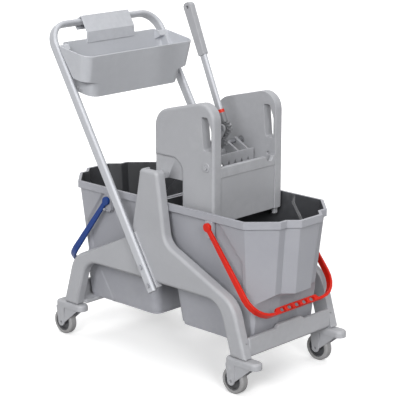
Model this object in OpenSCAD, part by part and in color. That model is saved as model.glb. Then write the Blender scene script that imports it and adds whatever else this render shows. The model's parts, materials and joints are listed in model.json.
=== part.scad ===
// Double mop bucket trolley: moulded chassis on four swivel casters, two lift-out buckets with swinging bails,
// a lever press wringer between two towers, and a basket that hooks over a leaning push handle.
// Millimetres, +X along the trolley away from the push handle, +Z up, origin on the floor under the middle.

/* [Chassis] */
// Length over the corner legs
chassis_len = 712; // [690:2:760]
// Thickness of a side frame across the trolley
side_t = 30; // [26:1:36]
// Height of the underside of the corner legs
leg_low = 107; // [104:1:112]
// Height of the straight lower edge between the legs
belly_z = 248; // [244:1:252]
// Height of the towers
tower_top = 560; // [552:1:580]
// Half width of a tower at its top
tower_half = 34; // [30:1:38]
// Slope of the tower flanks from upright
tower_flank = 8.5; // [6:0.5:11]
// Height of the corner between tower and arm
arm_root_z = 366; // [356:1:376]
// Place along the trolley of the knee between arm and leg
knee_x = 312; // [304:1:318]
// Height of the knee
knee_z = 254; // [250:1:262]
// Width of a leg at its foot
foot_len = 53; // [48:1:56]
// Slope of the inner edge of a leg from upright
leg_flank = 17; // [14:0.5:20]
// How far the end beams stand back from the ends of the legs
beam_back = 6; // [4:1:8]
// Height of the end beams above the feet
end_beam_h = 53; // [48:1:60]
// Extra height of the middle of an end beam
end_tab_h = 10; // [6:1:14]
// Thickness of an end beam
end_beam_t = 24; // [20:1:28]
// How far the bucket shelf reaches in from an end beam
shelf_reach = 44; // [36:1:50]
// Height of the bridge between the towers
bridge_h = 44; // [30:1:48]

/* [Buckets] */
// Half width of a bucket wall at the rim
bucket_half = 157; // [150:1:164]
// Distance of the outer bucket wall at the rim from the middle of the trolley
bucket_out = 410; // [404:1:424]
// Height of the rim
rim_z = 469; // [462:1:480]
// Height of the rim band
rim_h = 20; // [16:1:24]
// How far the rim band stands out
rim_lip = 5; // [4:0.5:7]
// Wall thickness of a bucket
bucket_wall = 3.5; // [3:0.5:5]
// Draft of the bucket walls
bucket_draft = 6; // [5:0.5:7]
// Height of the bucket floor above the trolley floor
bucket_low = 118; // [117:1:122]
// Length of the large corner chamfer, along one side
rim_chamfer = 66; // [56:1:72]
// Depth of the fold beside the end panel
rim_jog = 27; // [20:1:30]
// Half width of the end panel
end_half = 40; // [34:1:48]
// Height at which the end wall turns under
tuck_top = 262; // [258:1:268]
// Height at which the lower part starts
tuck_low = 240; // [236:1:246]
// Room between the lower bucket end and the end beam
tuck_in = 9.5; // [8:0.5:14]
// Depth of the side recess for the bail
bail_recess = 6; // [3:0.5:8]

/* [Bails] */
// Distance of the bail pivots from the middle of the trolley
bail_pivot_x = 196; // [188:1:204]
// Height of the bail pivots
bail_pivot_z = 433; // [426:1:436]
// Length from pivot to crossbar
bail_reach = 279; // [277:1:285]
// Angle of a hanging bail from straight down
bail_hang = 38.5; // [36:0.5:40]
// Thickness of a bail across its plane
bail_deep = 13; // [11:1:14]
// Width of a bail arm
bail_arm = 8; // [7:0.5:9]
// Width of the bail grip
bail_grip = 18; // [14:1:19]
// Diameter of the bail pivot pins
bail_pin_d = 8; // [6:0.5:10]

/* [Handle] */
// Wide size of the flat oval tube
tube_wide = 30; // [26:1:32]
// Narrow size of the flat oval tube
tube_thin = 15; // [13:0.5:17]
// Wall of the tube
tube_wall = 1.5; // [1:0.25:2]
// Lean of the handle from upright
handle_lean = 31; // [29:0.5:33]
// Place along the trolley of the lower tube ends
handle_x = 28; // [24:1:32]
// Height of the lower tube ends
handle_z = 227; // [222:1:232]
// Length from the lower ends to the middle of the top bar
handle_len = 796; // [780:2:812]
// Middle radius of the handle bends
handle_bend = 60; // [50:1:70]
// How far the bolt pads stand out of the side frames
pad_t = 5; // [3:0.5:6]
// Diameter of the handle bolts
bolt_d = 6; // [5:1:8]

/* [Casters] */
// Wheel diameter
wheel_d = 75; // [72:1:76]
// Wheel width
wheel_w = 23; // [20:1:25]
// Distance of a swivel from the end of the chassis
swivel_in_x = 17; // [16:1:20]
// Distance of a swivel from the side of the chassis
swivel_in_y = 21; // [19:1:24]
// Trail of the wheel behind its swivel
trail = 34; // [30:1:36]
// Diameter of the swivel stem
stem_d = 11; // [10:1:12]
// Diameter of the wheel axle
axle_d = 8; // [6:1:10]
// Height of the fork hood
hood_h = 20; // [18:1:22]
// Reach of the fork hood in front of its swivel
hood_front = 55; // [48:1:58]
// Thickness of a fork leg
fork_t = 6; // [5:0.5:7]

/* [Wringer] */
// Half width over the side plates
wringer_half = 138; // [132:1:140]
// Thickness of a side plate
plate_t = 30; // [24:1:34]
// Rear edge of the side plates
plate_back = -30; // [-36:1:-26]
// Front edge of the side plates
plate_front = 190; // [184:1:196]
// Top of the side plates at the front
plate_top = 766; // [756:1:776]
// Fall of the top edge towards the rear
plate_fall = 14; // [10:1:18]
// Underside of the box
box_low = 430; // [424:1:436]
// Rear of the box
box_back = 74; // [70:1:78]
// Top of the front rail
rail_top = 582; // [576:1:590]
// Height of the front rail
rail_h = 28; // [22:1:32]
// Wall of the box
box_wall = 4; // [3:0.5:5]
// Seat height of the side plates on the towers
seat_z = 532; // [526:1:538]
// Half length of the seat lugs
lug_half = 19; // [15:1:20]

/* [Press] */
// Place of the press shaft along the trolley
press_x = 63.5; // [62:0.5:66]
// Height of the press shaft
press_z = 606; // [602:1:610]
// Diameter of the press shaft and of the lever pin
shaft_d = 12; // [10:0.5:13]
// Module of the teeth
gear_module = 3.2; // [3:0.1:3.3]
// Teeth of the lever pinion
pinion_teeth = 12; // [12:1:13]
// Teeth of a full wheel on the press shaft
sector_teeth = 30; // [28:1:31]
// Direction from press shaft to lever pin above level
gear_dir = 55; // [52:1:58]
// Width of the teeth
gear_w = 14; // [10:1:16]
// Front face of the press plate
press_face = 118; // [114:1:120]
// Height of the press plate
press_h = 138; // [120:2:140]
// Half width of the press plate
press_half = 100; // [92:1:102]
// Thickness of the press plate
press_t = 6; // [4:0.5:8]

/* [Lever] */
// Lean of the resting lever from upright
lever_lean = 23; // [21:0.5:25]
// Length from lever pin to lever end
lever_len = 356; // [340:2:370]
// Length of the grip
grip_len = 150; // [130:2:160]
// Width of the grip
grip_w = 29; // [26:1:32]
// Thickness of the grip
grip_t = 18; // [16:1:22]
// Diameter of the hanging hole
hang_d = 10; // [8:0.5:12]
// Wide size of the lever tube
lever_wide = 22; // [20:1:23]
// Narrow size of the lever tube
lever_thin = 12; // [10:0.5:13]

/* [Basket] */
// Distance of the front rim ahead of the top bar
basket_front = 167; // [160:1:174]
// Distance of the rear rim ahead of the top bar
basket_back = 30; // [24:1:36]
// Drop of the front rim below the top bar
basket_rim = 68; // [61:1:75]
// Drop of the front bottom edge below the top bar
basket_low = 189; // [181:1:197]
// Drop of the front edge of the side step below the top bar
basket_step = 149; // [141:1:157]
// Rise of rim and floor towards the rear
basket_rise = 10; // [6:0.5:12]
// Half width of the basket at the rim
basket_half = 212; // [206:1:216]
// Half width below the step
basket_low_half = 178; // [170:1:184]
// Wall of the basket
basket_wall = 3.5; // [3:0.5:5]
// Half length of the hook along the top bar
hook_half = 92; // [74:1:98]

/* [Fits] */
// Running clearance of shafts and pins, on the radius
run = 0.05; // [0.02:0.01:0.1]
// Gap between pieces that lift or swing apart
gap = 0.35; // [0.3:0.05:0.6]
// Gap between a bucket rim and the side frames
rim_gap = 3; // [2:0.5:4]

/* [Hidden] */
$fn = 48;
cut = 1;                 // overshoot of cutters
arc_steps = 6;           // segments of a rounded corner
round_steps = 3;         // rings of a rounded edge
half_len = chassis_len / 2;
inner_half = bucket_half + rim_lip + rim_gap;
chassis_half = inner_half + side_t;
tube_y = chassis_half + pad_t + tube_thin / 2;
half_turn = tan(22.5);

// Colours as the photo shows them
chassis_grey = [0.65, 0.655, 0.67];
bucket_grey = [0.59, 0.595, 0.62];
basket_grey = [0.64, 0.645, 0.665];
dark_grey = [0.22, 0.22, 0.23];
bail_blue = [0.1, 0.24, 0.6];
bail_red = [0.88, 0.16, 0.05];
bright_metal = [0.85, 0.86, 0.88];

// Points, corners and rings
function unit(v) = v / norm(v);
function out_normal(a, b) = unit([b.y - a.y, a.x - b.x]);
function turn(v, a) = [v.x * cos(a) - v.y * sin(a), v.x * sin(a) + v.y * cos(a)];
function arc_at(c, r, from, sweep, n) = [for (i = [0:n]) c + r * [cos(from + sweep * i / n), sin(from + sweep * i / n)]];
function fillet(a, b, c, r) =
    let (
        u = unit(a - b),
        w = unit(c - b),
        half = acos(u * w) / 2,
        mid = b + unit(u + w) * r / sin(half),
        first = b + u * r / tan(half) - mid,
        last = b + w * r / tan(half) - mid,
        from = atan2(first.y, first.x),
        swing = atan2(last.y, last.x) - from,
        sweep = swing > 180 ? swing - 360 : swing < -180 ? swing + 360 : swing
    )
    arc_at(mid, r, from, sweep, arc_steps);
// Each corner is [x, y, radius], counter-clockwise; radius 0 stays sharp
function rounded(c) = [
    for (i = [0:len(c) - 1])
        let (
            a = c[(i + len(c) - 1) % len(c)],
            b = c[i],
            d = c[(i + 1) % len(c)]
        )
        each b[2] == 0 ? [[b.x, b.y]] : fillet([a.x, a.y], [b.x, b.y], [d.x, d.y], b[2])
];
function mirrored_x(half) = concat(half, [for (i = [len(half) - 1:-1:0]) [-half[i].x, half[i].y, half[i][2]]]);
function mirrored_y(half) = concat([for (i = [len(half) - 1:-1:0]) [half[i].x, -half[i].y, half[i][2]]], half);
function inset(p, d) = [
    for (i = [0:len(p) - 1])
        let (
            a = p[(i + len(p) - 1) % len(p)],
            b = p[i],
            c = p[(i + 1) % len(p)],
            n = out_normal(a, b),
            m = unit(n + out_normal(b, c))
        )
        b - m * d / (m * n)
];
function level(p, z) = [for (q = p) [q.x, q.y, z]];

// Closed solid through rings with equally many points, listed upwards
module loft(rings) {
    n = len(rings[0]);
    last = len(rings) - 1;
    sides = [
        for (k = [0:last - 1], i = [0:n - 1])
            let (j = (i + 1) % n)
            each [[k * n + i, (k + 1) * n + i, (k + 1) * n + j], [k * n + i, (k + 1) * n + j, k * n + j]]
    ];
    floor_face = [for (i = [0:n - 1]) i];
    top_face = [for (i = [n - 1:-1:0]) last * n + i];
    polyhedron([for (r = rings) each r], concat(sides, [floor_face, top_face]), convexity = 8);
}

// Slab with a rounded edge on its upper face
module slab(outline, t, r) {
    rings = [
        level(outline, 0),
        for (k = [0:round_steps])
            let (a = 90 * k / round_steps)
            level(inset(outline, r * (1 - cos(a))), t - r + r * sin(a))
    ];
    loft(rings);
}

// Flat oval, wide along X
module oval(wide, thin) {
    square([wide - thin, thin], center = true);
    for (s = [-1, 1])
        translate([s * (wide - thin) / 2, 0])
            circle(d = thin);
}

module along_y(x, z) {
    translate([x, 0, z])
        rotate([-90, 0, 0])
            children();
}

// Stands a profile drawn in X and Z upright, running from y to y + w
module upright(y, w) {
    translate([0, y + w, 0])
        rotate([90, 0, 0])
            linear_extrude(w)
                children();
}

// Chassis

arm_root_x = tower_half + (tower_top - arm_root_z) * tan(tower_flank);
heel_x = half_len - foot_len - (belly_z - leg_low) * tan(leg_flank);
heel_r = 60;
knee_r = 80;
arm_root_r = 50;
tower_r = 14;
side_outline = rounded(mirrored_x([
    [heel_x, belly_z, heel_r],
    [half_len - foot_len, leg_low, 0],
    [half_len, leg_low, 0],
    [knee_x, knee_z, knee_r],
    [arm_root_x, arm_root_z, arm_root_r],
    [tower_half, tower_top, tower_r]
]));
swivel_x = half_len - swivel_in_x;
swivel_y = chassis_half - swivel_in_y;
stem_up = 40;
ledge_t = 8;
bucket_slope = tan(bucket_draft);
function bucket_inset(z) = (rim_z - z) * bucket_slope;
ledge_in = bucket_half - bucket_inset(belly_z + ledge_t) + gap;
pocket_deep = side_t / 2;
pad_low = 5;
pad_len = 165;
bolt_low = 18;
bolt_high = 72;
bolt_at = [bolt_low, bolt_high];

module on_handle_side() {
    translate([handle_x, 0, handle_z])
        rotate([0, -handle_lean, 0])
            children();
}

module handle_bolt_holes(d) {
    on_handle_side()
        for (s = bolt_at)
            translate([0, -chassis_half - pad_t - tube_thin - cut, s])
                rotate([-90, 0, 0])
                    cylinder(d = d, h = pad_t + tube_thin + side_t);
}

module side_frame() {
    difference() {
        union() {
            upright(-chassis_half, side_t)
                polygon(side_outline);
            on_handle_side()
                translate([-tube_wide / 2, -chassis_half - pad_t, pad_low])
                    cube([tube_wide, pad_t + pocket_deep, pad_len]);
            translate([-heel_x + side_t, -inner_half - pocket_deep, belly_z + cut])
                cube([2 * (heel_x - side_t), inner_half + pocket_deep - ledge_in, ledge_t - cut]);
        }
        for (s = [-1, 1])
            translate([s * swivel_x, -swivel_y, leg_low - cut])
                cylinder(r = stem_d / 2 + run, h = stem_up + cut);
        translate([-lug_half - gap, -inner_half - pocket_deep - gap, seat_z])
            cube([2 * (lug_half + gap), pocket_deep + gap + cut, tower_top]);
        handle_bolt_holes(bolt_d + 2 * run);
    }
}

module side_frame_near() color(chassis_grey) side_frame();
module side_frame_far() color(chassis_grey) mirror([0, 1, 0]) side_frame();

beam_top = leg_low + end_beam_h;
beam_step = 3;
beam_lean = beam_back + beam_step;
shelf_top = bucket_low - gap;
tab_half = 47;
tab_ramp = 12;

module end_beam() {
    color(chassis_grey) {
        upright(-inner_half, 2 * inner_half)
            polygon([
                [half_len - 2 * beam_back, leg_low],
                [half_len - beam_back, leg_low + beam_back],
                [half_len - beam_lean, beam_top],
                [half_len - beam_lean - end_beam_t / 2, beam_top],
                [half_len - end_beam_t, shelf_top],
                [half_len - end_beam_t - shelf_reach, shelf_top],
                [half_len - end_beam_t - shelf_reach, leg_low]
            ]);
        translate([half_len - beam_lean - end_beam_t / 2, 0, beam_top])
            rotate([90, 0, 90])
                linear_extrude(end_beam_t / 2)
                    polygon([[-tab_half - tab_ramp, 0], [tab_half + tab_ramp, 0], [tab_half, end_tab_h], [-tab_half, end_tab_h]]);
    }
}

module end_beam_right() end_beam();
module end_beam_left() mirror([1, 0, 0]) end_beam();

bucket_in = 8;
bridge_low_half = bucket_in + bucket_inset(belly_z + bridge_h) - gap;
bridge_lip = 6;

// Hollow channel between the towers, open downwards
module centre_bridge() {
    color(chassis_grey)
        upright(-inner_half, 2 * inner_half)
            polygon([
                [-bridge_low_half, belly_z + ledge_t],
                [-bridge_low_half + bridge_lip, belly_z + ledge_t],
                [-bridge_low_half + bridge_lip, belly_z + bridge_h - bridge_lip],
                [bridge_low_half - bridge_lip, belly_z + bridge_h - bridge_lip],
                [bridge_low_half - bridge_lip, belly_z + ledge_t],
                [bridge_low_half, belly_z + ledge_t],
                [bridge_low_half, belly_z + bridge_h],
                [-bridge_low_half, belly_z + bridge_h]
            ]);
}

// Push handle

plug_deep = 14;
leg_run = handle_len - handle_bend;

module handle_tube_solid(wide, thin, over) {
    for (s = [-1, 1])
        translate([0, s * tube_y, -over])
            linear_extrude(leg_run + over)
                oval(wide, thin);
    for (s = [0, 1])
        mirror([0, s, 0])
            translate([0, tube_y - handle_bend, leg_run])
                rotate([0, -90, 0])
                    rotate_extrude(angle = 90)
                        translate([handle_bend, 0])
                            rotate(90)
                                oval(wide, thin);
    translate([0, tube_y - handle_bend, handle_len])
        rotate([90, 0, 0])
            linear_extrude(2 * (tube_y - handle_bend))
                oval(wide, thin);
}

module handle_tube() {
    color(bright_metal)
        difference() {
            on_handle_side()
                difference() {
                    handle_tube_solid(tube_wide, tube_thin, 0);
                    handle_tube_solid(tube_wide - 2 * tube_wall, tube_thin - 2 * tube_wall, cut);
                }
            handle_bolt_holes(bolt_d + 2 * run);
            mirror([0, 1, 0])
                handle_bolt_holes(bolt_d + 2 * run);
        }
}

module handle_plugs() {
    color(dark_grey)
        on_handle_side()
            for (s = [-1, 1])
                translate([0, s * tube_y, 0]) {
                    translate([0, 0, -tube_wall])
                        linear_extrude(tube_wall)
                            oval(tube_wide, tube_thin);
                    linear_extrude(plug_deep - bolt_d)
                        oval(tube_wide - 2 * tube_wall - 2 * run, tube_thin - 2 * tube_wall - 2 * run);
                }
}

bolt_head_d = 13;
bolt_head_h = 4;
bolt_in = 14;

module handle_bolts() {
    color(bright_metal)
        on_handle_side()
            for (side = [0, 1], s = bolt_at)
                mirror([0, side, 0])
                    translate([0, -tube_y - tube_thin / 2 - bolt_head_h, s])
                        rotate([-90, 0, 0]) {
                            cylinder(d = bolt_head_d, h = bolt_head_h);
                            cylinder(d = bolt_d, h = bolt_head_h + tube_thin + pad_t + bolt_in);
                        }
}

// Buckets

side_end = bucket_out - rim_jog - rim_chamfer;
low_chamfer = 26;
low_jog = 4;
low_out = half_len - beam_lean - end_beam_t / 2 + bucket_inset(beam_top) - tuck_in;
crease_w = 6;
crease_r = 2;
crease_ahead = 24;
crease_short = 22;
crease_top_x = bail_pivot_x + crease_ahead;
crease_low_x = side_end - crease_short;
crease_mid_z = rim_z - rim_h - (crease_low_x - crease_top_x) / tan(bail_hang);
flush = 0.5;
foot_h = 8;
foot_in = 3;
corner_r = 5;
back_corner_r = 24;

// One level of a bucket wall; the side step at crease marks where the bail lies in its recess
function bucket_ring(z, d, out, jog, chamfer, crease, recess) =
    let (
        half = bucket_half - d,
        turn_in = d * half_turn
    )
    level(rounded(mirrored_y([
        [out - d, end_half - turn_in, corner_r],
        [out - jog - d, end_half + rim_jog - turn_in, corner_r],
        [out - jog - d, bucket_half - chamfer - turn_in, corner_r],
        [out - jog - chamfer - turn_in, half, corner_r],
        [crease + crease_w, half, crease_r],
        [crease, half - recess, crease_r],
        [bucket_in + d, half - recess, back_corner_r]
    ])), z);
function low_ring(z, d, crease) = bucket_ring(z, d, low_out, low_jog, low_chamfer, crease, 2 * flush);
function high_ring(z, d, crease, recess) = bucket_ring(z, d, bucket_out, rim_jog, rim_chamfer, crease, recess);

// Wall levels from the foot to the underside of the rim, w inside the outer face
function wall_rings(w) =
    let (
        foot_z = bucket_low + foot_h + w,
        foot_d = bucket_inset(bucket_low + foot_h) + w
    )
    [
        low_ring(bucket_low + w, foot_d + foot_in, crease_top_x),
        low_ring(foot_z, foot_d + foot_in, crease_top_x),
        low_ring(foot_z, foot_d, crease_top_x),
        low_ring(tuck_low, bucket_inset(tuck_low) + w, crease_low_x - 3 * crease_w),
        high_ring(tuck_top, bucket_inset(tuck_top) + w, crease_low_x - crease_w, bail_recess),
        high_ring(crease_mid_z, bucket_inset(crease_mid_z) + w, crease_low_x, bail_recess),
        high_ring(rim_z - rim_h - w, bucket_inset(rim_z - rim_h) + w, crease_top_x, bail_recess)
    ];
bucket_outside = wall_rings(0);
bucket_inside = wall_rings(bucket_wall);
rim_rings = [
    high_ring(rim_z - rim_h, -rim_lip, crease_top_x, flush),
    high_ring(rim_z - flush, -rim_lip, crease_top_x, flush),
    high_ring(rim_z, flush - rim_lip, crease_top_x, flush),
    high_ring(rim_z, bucket_wall, crease_top_x, flush)
];

module bucket() {
    color(bucket_grey)
        loft(concat(bucket_outside, rim_rings, [for (i = [len(bucket_inside) - 1:-1:0]) bucket_inside[i]]));
}

module bucket_right() bucket();
module bucket_left() mirror([1, 0, 0]) bucket();

ear_half = 13;
ear_low = 32;
ear_r = 9;
ear_face = inner_half - rim_gap + 1;
ear_root = bucket_half - bucket_inset(rim_z - rim_h) - bail_recess + 2 * flush;
ear_floor = 4;
stop_d = 8;
stop_out = 24;
stop_side = bail_deep / 2 + gap + stop_d / 2;
stop_x = bail_pivot_x + stop_out * sin(bail_hang) - stop_side * cos(bail_hang);
stop_z = bail_pivot_z - stop_out * cos(bail_hang) - stop_side * sin(bail_hang);

// Bearing blocks under the rim, each with a blind bore and a stop on which the hanging bail rests
module bail_ears() {
    color(bucket_grey)
        for (s = [0, 1])
            mirror([0, s, 0])
                difference() {
                    union() {
                        upright(ear_root, ear_face - ear_root)
                            polygon(rounded([
                                [bail_pivot_x - ear_half, bail_pivot_z - ear_low, ear_r],
                                [bail_pivot_x + ear_half, bail_pivot_z - ear_low, ear_r],
                                [bail_pivot_x + ear_half, rim_z - rim_h, 0],
                                [bail_pivot_x - ear_half, rim_z - rim_h, 0]
                            ]));
                        translate([0, ear_face - cut, 0])
                            along_y(stop_x, stop_z)
                                cylinder(d = stop_d, h = bail_arm + cut);
                    }
                    translate([0, ear_root + ear_floor, 0])
                        along_y(bail_pivot_x, bail_pivot_z)
                            cylinder(r = bail_pin_d / 2 + run, h = side_t);
                }
}

module bail_ears_right() bail_ears();
module bail_ears_left() mirror([1, 0, 0]) bail_ears();

// Bails

arm_in = ear_face + gap;
bail_bend = 70;
grip_half = 88;
grip_end_r = 6;
grip_hole = 10;
grip_pitch = 30;
grip_holes = 5;
bail_eye_d = 24;

eye_proud = 1;
arm_face = arm_in + eye_proud / 2;
bar_low = -bail_reach - bail_arm / 2;

// Drawn flat: first coordinate across the trolley, second from pivot to crossbar
module bail_flat() {
    difference() {
        union() {
            difference() {
                polygon(rounded(mirrored_x([
                    [arm_in + bail_arm, 0, 0],
                    [arm_in + bail_arm, bar_low, bail_bend]
                ])));
                polygon(rounded(mirrored_x([
                    [arm_face, cut, 0],
                    [arm_face, bar_low + bail_arm, bail_bend - bail_arm]
                ])));
            }
            polygon(rounded(mirrored_x([
                [grip_half, bar_low + cut, 0],
                [grip_half, bar_low + bail_arm, 0],
                [grip_half - bail_arm, bar_low + bail_grip, grip_end_r]
            ])));
        }
        for (i = [0:grip_holes - 1])
            translate([(i - (grip_holes - 1) / 2) * grip_pitch, bar_low + bail_grip / 2])
                oval(2 * grip_hole, grip_hole);
    }
}

module bail(paint) {
    color(paint)
        translate([bail_pivot_x, 0, bail_pivot_z]) {
            rotate([0, -bail_hang, 0])
                rotate([90, 0, 90])
                    linear_extrude(bail_deep, center = true)
                        bail_flat();
            for (s = [0, 1])
                mirror([0, s, 0])
                    rotate([-90, 0, 0]) {
                        translate([0, 0, arm_in])
                            cylinder(d = bail_eye_d, h = bail_arm + eye_proud);
                        translate([0, 0, ear_root + ear_floor + gap])
                            cylinder(d = bail_pin_d, h = arm_in - ear_root - ear_floor);
                    }
        }
}

module bail_right() bail(bail_red);
module bail_left() mirror([1, 0, 0]) bail(bail_blue);

// Basket

basket_slope = tan(basket_rise);
function basket_ring(front, back, half, r, z) =
    [
        for (p = rounded(mirrored_y([[front, half, r], [back, half, r]])))
            [p.x, p.y, z + (front - p.x) * basket_slope]
    ];

bar = [handle_x - handle_len * sin(handle_lean), handle_z + handle_len * cos(handle_lean)];
front_x = bar.x + basket_front;
back_x = bar.x + basket_back;
rim_level = bar.y - basket_rim;
low_level = bar.y - basket_low;
step_level = bar.y - basket_step;
front_lean = 27;
back_lean = 12;
band_draft = 6;
low_draft = 6;
step_rise = 6;
basket_r = 28;
function down_share(down) = (down - basket_rim) / (basket_low - basket_rim);
function front_at(down) = front_x - front_lean * down_share(down);
function back_at(down) = back_x + back_lean * down_share(down);

// Levels from the floor to just under the rim, w inside the outer face
function basket_rings(w) = [
    basket_ring(front_at(basket_low) - w, back_at(basket_low) + w, basket_low_half - low_draft - w, basket_r,
        low_level + w),
    basket_ring(front_at(basket_step) - w, back_at(basket_step) + w, basket_low_half - w, basket_r,
        step_level + w),
    basket_ring(front_at(basket_step - step_rise) - w, back_at(basket_step - step_rise) + w,
        basket_half - band_draft - w, basket_r, step_level + step_rise + w),
    basket_ring(front_x - w, back_x + w, basket_half - w, basket_r, rim_level)
];
basket_outside = basket_rings(0);
basket_inside = basket_rings(basket_wall);

channel_gap = 1.5;
hook_wall = 4;
hook_in = tube_wide / 2 + gap;
hook_rise = tube_thin / 2 + gap;
hook_tail = 16;
lift_room = 32;
notch_in = 20;
notch_drop = 20;

// Room for the leaning handle tubes along the basket ends, wider where the lifted basket passes their bends
module tube_room(extra) {
    across = tube_wide + 2 * (channel_gap + extra);
    inner = tube_y - tube_thin / 2 - channel_gap - extra;
    on_handle_side()
        for (s = [0, 1])
            mirror([0, s, 0]) {
                translate([-across / 2, inner, 0])
                    cube([across, 2 * tube_thin, handle_len]);
                translate([-across / 2, inner - notch_in, leg_run - notch_drop - extra])
                    cube([across, 2 * tube_thin + notch_in, handle_len]);
            }
}

function at_bar(u, v) = bar + turn([u, v], handle_lean);
back_rim = rim_level + (front_x - back_x) * basket_slope;
hook_root = 12;

// Sheet that rises from the rear wall and curls over the top bar
module basket_hook() {
    upright(-hook_half, 2 * hook_half)
        polygon([
            [back_x + 2 * basket_wall, back_rim - hook_root],
            at_bar(hook_in + hook_wall, -hook_rise - lift_room),
            at_bar(hook_in + hook_wall, hook_rise + hook_wall),
            at_bar(-hook_in - hook_wall, hook_rise + hook_wall),
            at_bar(-hook_in - hook_wall, -hook_tail),
            at_bar(-hook_in, -hook_tail),
            at_bar(-hook_in, hook_rise),
            at_bar(hook_in, hook_rise),
            at_bar(hook_in, -hook_rise - lift_room),
            [back_x + basket_wall / 2, back_rim - hook_root]
        ]);
}

module basket() {
    color(basket_grey) {
        difference() {
            loft(basket_outside);
            difference() {
                loft(concat([for (i = [0:2]) basket_inside[i]], [[for (p = basket_inside[3]) p + [0, 0, cut]]]));
                tube_room(basket_wall);
            }
            tube_room(0);
        }
        basket_hook();
    }
}

// Wringer

plate_in = wringer_half - plate_t;
plate_round = 8;
plate_front_r = 46;
plate_back_r = 52;
plate_low_r = 12;
front_sink = 2;
arch_x = box_back - front_sink;
slot_x = 163;
slot_z = 673;
slot_w = 36;
slot_h = 90;
slot_r = 6;
slot_front_r = 20;
boss_x = 163;
boss_z = 584;
boss_d = 26;
boss_h = 2;
screw_d = 8;
leg_drop = 18;
leg_len = 10;
recess_deep = 6;
recess_h = 58;
recess_r = 36;
plate_outline = rounded([
    [plate_front, box_low, 0],
    [plate_front, plate_top, plate_front_r],
    [plate_back, plate_top - (plate_front - plate_back) * tan(plate_fall), plate_back_r],
    [plate_back, seat_z, plate_low_r],
    [arch_x, seat_z, 0],
    [arch_x, box_low, 0]
]);
bush_wall = 5;
bush_d = shaft_d + 2 * bush_wall;
bush_flange = 4;
shaft_room = 1;
shaft_past = 4;

module hand_slot() {
    translate([0, -wringer_half - cut, 0])
        upright(0, plate_t + 2 * cut)
            polygon(rounded([
                [slot_x - slot_w / 4, slot_z - slot_h / 2, slot_r],
                [slot_x + slot_w / 2, slot_z - slot_h / 2, slot_r],
                [slot_x + slot_w / 2, slot_z + slot_h / 8, slot_front_r],
                [slot_x + slot_w / 8, slot_z + slot_h / 2, slot_r],
                [slot_x - slot_w / 2, slot_z + slot_h / 2, slot_r]
            ]));
}

// Sunk outer face over the tower, round at its front corner
module seat_recess() {
    upright(-wringer_half - cut, recess_deep + cut)
        polygon(rounded([
            [plate_back - cut, seat_z - cut, 0],
            [arch_x, seat_z - cut, 0],
            [arch_x, seat_z + recess_h, recess_r],
            [plate_back - cut, seat_z + recess_h, 0]
        ]));
}

module wringer_side() {
    color(chassis_grey)
        difference() {
            union() {
                difference() {
                    upright(-wringer_half, plate_t)
                        polygon(plate_outline);
                    seat_recess();
                }
                translate([-lug_half, -inner_half - pocket_deep, seat_z + gap])
                    cube([2 * lug_half, pocket_deep + inner_half - wringer_half + plate_round + cut, plate_t / 2]);
                translate([0, -wringer_half - boss_h, 0])
                    along_y(boss_x, boss_z)
                        cylinder(d = boss_d, h = boss_h + plate_round);
                translate([plate_front - leg_len - plate_round, -wringer_half + plate_round, box_low - leg_drop])
                    cube([leg_len, plate_t - 2 * plate_round, leg_drop + cut]);
            }
            hand_slot();
            translate([0, -plate_in - bush_flange, 0])
                along_y(press_x, press_z)
                    cylinder(d = bush_d, h = bush_flange + cut);
            translate([0, -plate_in - plate_t / 2, 0])
                along_y(press_x, press_z)
                    cylinder(r = shaft_d / 2 + shaft_room, h = plate_t / 2 + cut);
            translate([0, -wringer_half - boss_h - cut, 0])
                along_y(boss_x, boss_z)
                    cylinder(r = screw_d / 2 + run, h = plate_t + boss_h + 2 * cut);
        }
}

module wringer_side_near() wringer_side();
module wringer_side_far() mirror([0, 1, 0]) wringer_side();

rail_deep = 14;
drain_d = 10;
drain_pitch = 24;
notch_y = 86;
notch_d = 28;
back_top = seat_z;

// Box between the side plates: front wall under a thick rail, rear wall and a drained floor
module wringer_box() {
    color(chassis_grey)
        difference() {
            union() {
                upright(-plate_in, 2 * plate_in)
                    polygon([
                        [box_back, box_low],
                        [plate_front - front_sink, box_low],
                        [plate_front - front_sink, rail_top - rail_h],
                        [plate_front, rail_top - rail_h],
                        [plate_front, rail_top],
                        [plate_front - rail_deep, rail_top],
                        [plate_front - front_sink - box_wall, rail_top - rail_h],
                        [plate_front - front_sink - box_wall, box_low + box_wall],
                        [box_back + box_wall, box_low + box_wall],
                        [box_back + box_wall, back_top],
                        [box_back, back_top]
                    ]);
            }
            for (x = [box_back + drain_pitch:drain_pitch:plate_front - drain_pitch],
                 y = [-plate_in + drain_pitch:drain_pitch:plate_in - drain_pitch])
                translate([x, y, box_low - cut])
                    cylinder(d = drain_d, h = box_wall + 2 * cut);
            translate([plate_front - rail_deep - cut, notch_y, rail_top])
                rotate([0, 90, 0])
                    cylinder(d = notch_d, h = rail_deep + 2 * cut);
            for (s = [-1, 1])
                translate([0, s * plate_in - screw_in, 0])
                    along_y(boss_x, boss_z)
                        cylinder(r = screw_d / 2 + run, h = 2 * screw_in);
        }
}

screw_in = 12;

module wringer_screws() {
    color(chassis_grey)
        for (s = [0, 1])
            mirror([0, s, 0])
                translate([0, -wringer_half - boss_h - bolt_head_h, 0])
                    along_y(boss_x, boss_z) {
                        cylinder(d = bolt_head_d, h = bolt_head_h);
                        cylinder(d = screw_d, h = plate_t);
                    }
}

// Press and lever

gear_reach = gear_module * (pinion_teeth + sector_teeth) / 2;
lever_x = press_x + gear_reach * cos(gear_dir);
lever_z = press_z + gear_reach * sin(gear_dir);
pressure = 20;
backlash = 0.25;
tip = 0.85;
root = 1.15;
flank_steps = 4;
cheek_gap = 3;
cheek_in = gear_w / 2 + cheek_gap;
cheek_t = 6;
cheek_wall = 7;
beam_half_h = 14;

function inv(a) = tan(a) * 180 / PI - a;
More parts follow.
